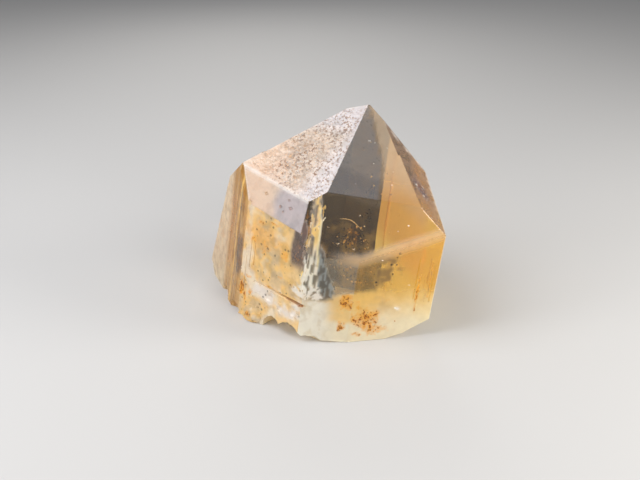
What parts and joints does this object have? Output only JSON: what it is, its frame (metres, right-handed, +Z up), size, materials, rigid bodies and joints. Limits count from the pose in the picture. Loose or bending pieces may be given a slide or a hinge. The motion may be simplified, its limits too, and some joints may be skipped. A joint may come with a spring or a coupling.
{
  "type": "topaz crystal",
  "caption": "Loose leaning topaz crystal with a roof-shaped top, etched and grooved faces and a broken foot, for standing on a flat surface.",
  "frame": {"origin": "on the surface the crystal stands on, under the middle of its box", "axes": "+Z up; the crystal leans towards +X; -Y is the front, the side with the widest clear faces"},
  "size_m": [0.0116, 0.0088, 0.0098],
  "materials": {
    "topaz": "clear honey-coloured stone, smooth on most faces, frosted with etch pits on the left roof face and rough on the broken foot"
  },
  "bodies": {
    "root": {"topaz_crystal": "topaz"}
  },
  "joints": []
}
